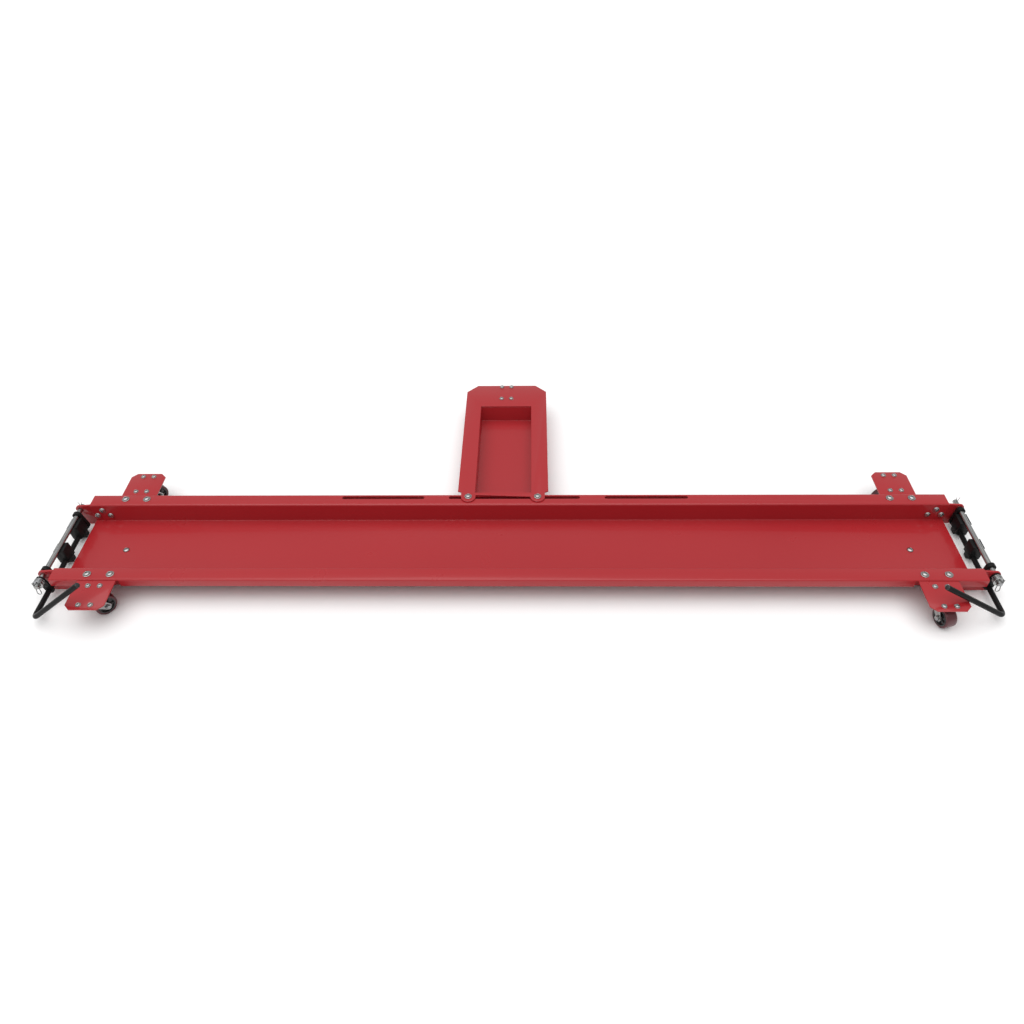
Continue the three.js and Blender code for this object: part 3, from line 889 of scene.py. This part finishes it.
# ------------------------------------------------------------------------------ casters
@dataclass
class Caster:
    """A 50 mm swivel caster: mounting plate, ball race, fork and a wheel with its tread."""

    shop: Paintshop
    datum: Datum
    wheel_radius: float = 25.0
    half_width: float = 14.0
    race_radius: float = 20.0
    corner: float = 6 * MM  # rounding of the mounting plate's corners
    ribs: int = 6
    tread_inset: float = 1.4  # of the tread's sides from the core's
    tread_play: float = 0.3  # of the tread from the full wheel radius

    def build(self) -> None:
        """Model the wheel's parts once and fit five casters."""
        masters = [self.core(), self.tread(), self.hub_cap()]
        for place in Place:
            self.mounting(place)
            self.fork(place)
            self.wheel(place, *masters)
        Workshop.discard(*masters)

    def mounting(self, place: Place) -> None:
        """Model the pressed mounting plate and the upper cup of its ball race.

        Args:
            place: The caster.
        """
        node = f"caster_plate_{place.value}"
        low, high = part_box(node)
        centre = self.datum.swivel(place)
        plate = Workshop.block(
            "mounting", Vector((low.x, low.y, high.z - self.datum.plate_gauge)), high.copy()
        )
        with Workshop.editing(plate):
            self.select_upright_edges(plate)
            bpy.ops.mesh.bevel(offset=self.corner, segments=6)
        Workshop.round_edges(plate, 0.4 * MM, 2)
        top = (high.z - self.datum.plate_gauge / 2) / MM
        floor = low.z / MM
        r = self.race_radius
        cup = Workshop.spun(
            "mounting_cup",
            [
                (0, top), (r - 4, top), (r - 3, top - 2), (r - 1.2, top - 3.2), (r, floor + 2.6),
                (r, floor + 0.6), (r - 0.6, floor), (0, floor),
            ],
            steps=56,
        )
        cup.data.transform(Matrix.Translation((centre.x, centre.y, 0)))
        piece = Workshop.join(f"mounting_plate_{place.value}", [plate, cup])
        Workshop.shade(piece, 32)
        self.shop.dress(piece, "zinc", place.body, [node])

    @staticmethod
    def select_upright_edges(piece: bpy.types.Object) -> None:
        """Select, in edit mode, the edges that stand upright."""
        bpy.ops.mesh.select_mode(type="EDGE")
        bpy.ops.mesh.select_all(action="DESELECT")
        shape = bmesh.from_edit_mesh(piece.data)
        for edge in shape.edges:
            one, other = edge.verts
            edge.select_set(abs((one.co - other.co).normalized().z) > 0.9)
        bmesh.update_edit_mesh(piece.data)

    def fork(self, place: Place) -> None:
        """Make the fork with its rounded edges, its lower race and the wheel's bolt.

        Args:
            place: The caster.
        """
        node = f"caster_fork_{place.value}"
        body = f"swivel_{place.value}"
        fork = Workshop.round_edges(from_node(f"fork_{place.value}", node), 0.5 * MM, 2)
        self.shop.dress(fork, "zinc", body, [node])
        centre = self.datum.swivel(place)
        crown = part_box(node)[1].z / MM
        r = self.race_radius - 1
        race = Workshop.spun(
            f"ball_race_{place.value}",
            [
                (r - 5, crown - 4.4), (r + 0.4, crown - 4.2), (r + 0.7, crown - 1),
                (r + 0.1, crown + 0.15), (r - 5, crown + 0.15),
            ],
            steps=56,
            closed=True,
        )
        race.data.transform(Matrix.Translation((centre.x, centre.y, 0)))
        Workshop.shade(race, 40)
        self.shop.dress(race, "zinc", body)
        axle = f"caster_axle_{place.value}"
        bolt = Workshop.round_edges(from_node(f"wheel_bolt_{place.value}", axle), 0.35 * MM, 2, 25)
        self.shop.dress(bolt, "zinc", body, [axle])

    def core(self) -> bpy.types.Object:
        """Model the black wheel core, with a dished web and ribs on both faces."""
        w = self.half_width
        half = [
            (3.4, w), (7.4, w), (8.0, w - 0.6), (8.4, w - 4.2), (9.2, w - 5.0), (15.2, w - 5.0),
            (16.0, w - 4.2), (16.8, w - 1.2), (17.6, w - 0.6), (19.6, w - 0.6),
        ]
        profile = half + [(r, -z) for r, z in reversed(half)]
        hub = Workshop.spun("wheel_core", profile, steps=64, closed=True)
        ribs = []
        for face in (-1, 1):
            for number in range(self.ribs):
                low = Vector((8 * MM, -0.9 * MM, (w - 5.4) * MM))
                high = Vector((17 * MM, 0.9 * MM, (w - 2.2) * MM))
                rib = Workshop.round_edges(Workshop.block("wheel_rib", low, high), 0.4 * MM, 2)
                turn = Matrix.Rotation(math.radians(360 / self.ribs * number), 4, "Z")
                tip = Matrix.Identity(4) if face > 0 else Matrix.Rotation(math.pi, 4, "X")
                rib.data.transform(tip @ turn)
                ribs.append(rib)
        piece = Workshop.join("wheel_core", [hub, *ribs])
        Workshop.shade(piece, 32)
        return piece

    def tread(self) -> bpy.types.Object:
        """Model the crowned tread, with rounded shoulders and a fine seam in the middle."""
        w, r = self.half_width - self.tread_inset, self.wheel_radius - self.tread_play
        shoulder = [
            (r - 2.2 + 1.9 * math.sin(angle), w - 1.9 + 1.9 * math.cos(angle))
            for angle in (math.radians(step) for step in (0, 20, 40, 60, 80))
        ]
        half = [(r - 5.6, w), (r - 3.6, w), *shoulder, (r - 0.1, w - 6), (r, 1.2), (r, 0.35)]
        profile = half + [(r - 0.12, 0.0)] + [(radius, -z) for radius, z in reversed(half)]
        piece = Workshop.spun("wheel_tread", profile, steps=80, closed=True)
        Workshop.shade(piece, 50)
        return piece

    def hub_cap(self) -> bpy.types.Object:
        """Model the pressed steel sleeve that shows round the wheel's bolt."""
        w = self.half_width
        profile = [(3.3, w + 0.7), (6.2, w + 0.7), (6.8, w + 0.2), (6.8, -w - 0.2), (6.2, -w - 0.7),
                   (3.3, -w - 0.7)]
        piece = Workshop.spun("wheel_sleeve", profile, steps=40, closed=True)
        Workshop.shade(piece, 32)
        return piece

    def wheel(
        self,
        place: Place,
        core: bpy.types.Object,
        tread: bpy.types.Object,
        sleeve: bpy.types.Object,
    ) -> None:
        """Fit a wheel about its roll joint.

        Args:
            place: The caster.
            core: The core's master, about the Z axis.
            tread: The tread's master.
            sleeve: The sleeve's master.
        """
        roll = joint_named(f"roll_{place.value}")
        turn = Vector((0, 0, 1)).rotation_difference(Vector(roll["axis"])).to_matrix().to_4x4()
        at = Matrix.Translation(roll["pos_m"]) @ turn
        body = f"wheel_{place.value}"
        made = Workshop.copy(core, f"wheel_core_{place.value}", at)
        self.shop.dress(made, "core", body, [f"caster_wheel_{place.value}"])
        self.shop.dress(Workshop.copy(tread, f"wheel_tread_{place.value}", at), "tread", body)
        self.shop.dress(Workshop.copy(sleeve, f"wheel_sleeve_{place.value}", at), "zinc", body)


# ------------------------------------------------------------------------------ stands
@dataclass
class FootStand:
    """The axle across one end, and the stand that swings on it."""

    shop: Paintshop
    datum: Datum
    side: Side
    throw: float = 33.0 * MM
    bar_radius: float = 6.0 * MM
    bend: float = 14.0 * MM
    lever: float = 183.0 * MM
    lever_angle: float = 23.3
    rest_angles: dict[Side, float] = field(
        default_factory=lambda: {Side.LEFT: 15.0, Side.RIGHT: 8.2}
    )
    plug: float = 3.0 * MM

    @property
    def body(self) -> str:
        """The stand's body."""
        return f"stand_{self.side.value}"

    @property
    def pivot(self) -> Vector:
        """A point on the axle's centre line, in the middle of the channel."""
        return Vector(joint_named(f"stand_hinge_{self.side.value}")["pos_m"])

    def at(self, angle: float, reach: float) -> Vector:
        """A direction in the plane across the axle.

        Args:
            angle: How far it has swung inwards from straight down, in degrees.
            reach: Its length.

        Returns:
            The vector, with no part along the axle.
        """
        swing = math.radians(angle)
        return Vector((-self.side.sign * math.sin(swing), 0, -math.cos(swing))) * reach

    @property
    def bar_centre(self) -> Vector:
        """The stand bar's centre line at rest, at the pivot's Y."""
        return self.pivot + self.at(self.rest_angles[self.side], self.throw)

    @property
    def lever_direction(self) -> Vector:
        """Which way the foot lever points at rest."""
        return self.at(self.rest_angles[self.side] + self.lever_angle + 90, 1.0)

    def build(self) -> None:
        """Make the axle's pieces and the stand's pieces."""
        self.axle_rod()
        self.axle_hardware()
        self.stand_bar()
        self.end_plug()
        self.brackets()
        self.weld_beads()

    def axle_rod(self) -> None:
        """Model the bright axle rod with chamfered ends."""
        node = f"axle_rod_{self.side.value}"
        low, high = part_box(node)
        radius = (high.z - low.z) / 2 / MM
        length = (high.y - low.y) / MM
        profile = [(0, 0), (radius - 1.2, 0), (radius, 1.2), (radius, length - 1.2),
                   (radius - 1.2, length), (0, length)]
        piece = Workshop.spun(f"axle_{self.side.value}", profile, steps=40)
        turn = Matrix.Rotation(math.radians(-90), 4, "X")
        start = Vector((self.pivot.x, low.y, self.pivot.z))
        piece.data.transform(Matrix.Translation(start) @ turn)
        Workshop.shade(piece, 30)
        self.shop.dress(piece, "drawn_zinc", "frame", [node])

    def axle_hardware(self) -> None:
        """Make the spring, the washer and the two pins, with their wires round and smooth."""
        name = self.side.value
        for stem in ("axle_spring", "hairpin_clip", "cotter_pin"):
            node = f"{stem}_{name}"
            wire = from_node(f"{stem}_wire_{name}", node)
            Workshop.modify(wire, "SUBSURF", levels=2, render_levels=2)
            Workshop.pick(wire)
            bpy.ops.object.shade_smooth()
            self.shop.dress(wire, "zinc", "frame", [node])
        node = f"axle_washer_{name}"
        washer = Workshop.round_edges(from_node(f"spring_washer_{name}", node), 0.35 * MM, 2, 28)
        self.shop.dress(washer, "zinc", "frame", [node])

    def stand_bar(self) -> None:
        """Model the bent round bar: along the axle, round one bend, and up the foot lever."""
        node = f"stand_bar_{self.side.value}"
        low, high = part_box(node)
        centre = self.bar_centre
        corner = Vector((centre.x, low.y + self.bar_radius, centre.z))
        start = Vector((centre.x, high.y, centre.z))
        out = self.lever_direction
        bpy.ops.object.select_all(action="DESELECT")
        bpy.ops.mesh.primitive_circle_add(
            vertices=32,
            radius=self.bar_radius,
            fill_type="NGON",
            location=start,
            rotation=(math.radians(90), 0, 0),
        )
        piece = bpy.context.active_object
        piece.name = f"{node}_rod"
        Workshop.settle(piece)
        run = Vector((0, corner.y + self.bend - start.y, 0))
        hub = corner + Vector((0, self.bend, 0)) + out * self.bend
        axis = out.cross(Vector((0, -1, 0)))
        with Workshop.editing(piece):
            bpy.ops.mesh.extrude_region_move(TRANSFORM_OT_translate={"value": run})
            bpy.ops.mesh.spin(steps=12, angle=math.radians(90), center=hub, axis=axis)
            along = out * (self.lever - self.bend - self.plug)
            bpy.ops.mesh.extrude_region_move(TRANSFORM_OT_translate={"value": along})
        Workshop.close(piece)
        Workshop.round_edges(piece, 0.8 * MM, 3, 40)
        self.shop.dress(piece, "black", self.body, [node])

    def end_plug(self) -> None:
        """Model the domed plastic plug in the lever's end."""
        r = self.bar_radius / MM
        depth = self.plug / MM
        profile = [(0, -2.0), (r - 1.2, -2.0), (r - 0.9, 0.0), (r - 0.15, 0.0), (r - 0.15, 0.7),
                   (r - 0.5, 1.3), (r - 1.6, 2.0), (r - 3.2, 2.5), (0, depth - 0.2)]
        piece = Workshop.spun(f"lever_plug_{self.side.value}", profile, steps=32)
        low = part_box(f"stand_bar_{self.side.value}")[0]
        out = self.lever_direction
        corner = Vector((self.bar_centre.x, low.y + self.bar_radius, self.bar_centre.z))
        at = Matrix.Translation(corner + out * (self.lever - self.plug))
        turn = Vector((0, 0, 1)).rotation_difference(out).to_matrix().to_4x4()
        piece.data.transform(at @ turn)
        Workshop.shade(piece, 35)
        self.shop.dress(piece, "cap", self.body)

    def brackets(self) -> None:
        """Make the cheeks, the foot brackets and the rubber pads, with rounded edges."""
        name = self.side.value
        for stem in ("near", "far", "outer"):
            node = f"stand_cheek_{stem}_{name}"
            cheek = Workshop.round_edges(from_node(f"{node}_plate", node), 0.5 * MM, 2)
            self.shop.dress(cheek, "black", self.body, [node])
        for stem in ("near", "far"):
            node = f"foot_bracket_{stem}_{name}"
            bracket = Workshop.round_edges(from_node(f"{node}_body", node), 0.8 * MM, 3)
            self.shop.dress(bracket, "black", self.body, [node])
            pad_node = f"foot_pad_{stem}_{name}"
            pad = Workshop.round_edges(from_node(f"{pad_node}_rubber", pad_node), 0.9 * MM, 3)
            self.shop.dress(pad, "rubber", self.body, [pad_node])

    def weld_beads(self) -> None:
        """Run a rippled weld bead round the bar on both faces of every cheek and bracket."""
        name = self.side.value
        nodes = [f"stand_cheek_{stem}_{name}" for stem in ("near", "far", "outer")]
        nodes += [f"foot_bracket_{stem}_{name}" for stem in ("near", "far")]
        master = self.bead()
        for node in nodes:
            low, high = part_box(node)
            for face, y in (("near", low.y), ("far", high.y)):
                at = Matrix.Translation((self.bar_centre.x, y, self.bar_centre.z))
                turn = Matrix.Rotation(math.radians(90), 4, "X")
                bead = Workshop.copy(master, f"weld_{face}_{node}", at @ turn)
                self.shop.dress(bead, "black", self.body)
        Workshop.discard(master)

    def bead(self) -> bpy.types.Object:
        """Model one ring of weld, built up in overlapping ripples."""
        r = self.bar_radius / MM
        section = [
            (r + 0.9 + 1.1 * math.cos(angle), 0.9 * math.sin(angle))
            for angle in (2 * math.pi * step / 8 for step in range(8))
        ]
        piece = Workshop.spun("weld_bead", section, steps=72, closed=True)
        for vertex in piece.data.vertices:
            turn = math.atan2(vertex.co.y, vertex.co.x)
            swell = 1 + 0.16 * abs(math.sin(turn * 9))
            radius = math.hypot(vertex.co.x, vertex.co.y)
            outward = (radius - r * MM) * swell + r * MM
            vertex.co.x *= outward / radius
            vertex.co.y *= outward / radius
            vertex.co.z *= swell
        Workshop.pick(piece)
        bpy.ops.object.shade_smooth()
        return piece


# ------------------------------------------------------------------------------ studio
@dataclass(frozen=True)
class Studio:
    """Camera, pale floor and soft light."""

    lens: float = 29.17
    place: tuple[float, float, float] = (0.044, -1.374, 1.385)  # from the flange's top, mid channel
    pitch: float = 43.63
    yaw: float = 1.92
    roll: float = 1.39
    overhead: float = 1.95
    spread: float = 75.0
    tilt: tuple[float, float] = (4.0, -6.0)  # of the light, about X and Y
    surround: float = 0.6
    sensor: float = 36.0
    floor_size: float = 60.0
    floor_tone: float = 0.95

    def build(self, datum: Datum) -> None:
        """Set up the studio round the dolly.

        Args:
            datum: The dolly's shared places.
        """
        self.camera(datum)
        self.floor()
        self.lights()

    def camera(self, datum: Datum) -> None:
        """Put the camera in front, above the dolly's middle."""
        data = bpy.data.cameras.new("camera")
        data.lens = self.lens
        data.sensor_width = self.sensor
        camera = bpy.data.objects.new("camera", data)
        bpy.context.scene.collection.objects.link(camera)
        place = Vector(self.place) + Vector((0, datum.middle, datum.flange_top))
        camera.matrix_world = (
            Matrix.Translation(place)
            @ Matrix.Rotation(math.radians(self.yaw), 4, "Z")
            @ Matrix.Rotation(math.radians(90 - self.pitch), 4, "X")
            @ Matrix.Rotation(math.radians(-self.roll), 4, "Z")
        )
        bpy.context.scene.camera = camera

    def floor(self) -> None:
        """Lay a plain pale floor, which isn't part of the dolly."""
        bpy.ops.object.select_all(action="DESELECT")
        bpy.ops.mesh.primitive_plane_add(size=self.floor_size, location=(0, 0, 0))
        plane = bpy.context.active_object
        plane.name = "studio_floor"
        bench = NodeBench("pale_floor")
        pale = (self.floor_tone,) * 3
        bench.constant(Base_Color=(*pale, 1), Roughness=0.9, Specular_IOR_Level=0.1)
        bench.nodes.remove(bench.coordinates.node)
        plane.data.materials.append(bench.material)

    def lights(self) -> None:
        """Shine one wide soft light nearly straight down, inside a dim even surround."""
        data = bpy.data.lights.new("overhead", "SUN")
        data.energy = self.overhead
        data.angle = math.radians(self.spread)
        light = bpy.data.objects.new("overhead", data)
        light.rotation_euler = (*(math.radians(angle) for angle in self.tilt), 0)
        bpy.context.scene.collection.objects.link(light)
        world = bpy.data.worlds.new("grey_surround")
        world.use_nodes = True
        surround = world.node_tree.nodes["Background"]
        surround.inputs["Color"].default_value = (1, 1, 1, 1)
        surround.inputs["Strength"].default_value = self.surround
        bpy.context.scene.world = world
        bpy.context.scene.view_settings.view_transform = "Standard"


def main() -> None:
    """Build the studio and every sub-assembly."""
    logging.basicConfig(level=logging.INFO, format="%(name)s: %(message)s")
    datum = Datum()
    shop = Paintshop()
    Studio().build(datum)
    SheetWork(shop).build()
    Caster(shop, datum).build()
    for side in Side:
        FootStand(shop, datum, side).build()
    Fasteners(datum, shop).build()


if __name__ == "__main__":
    main()
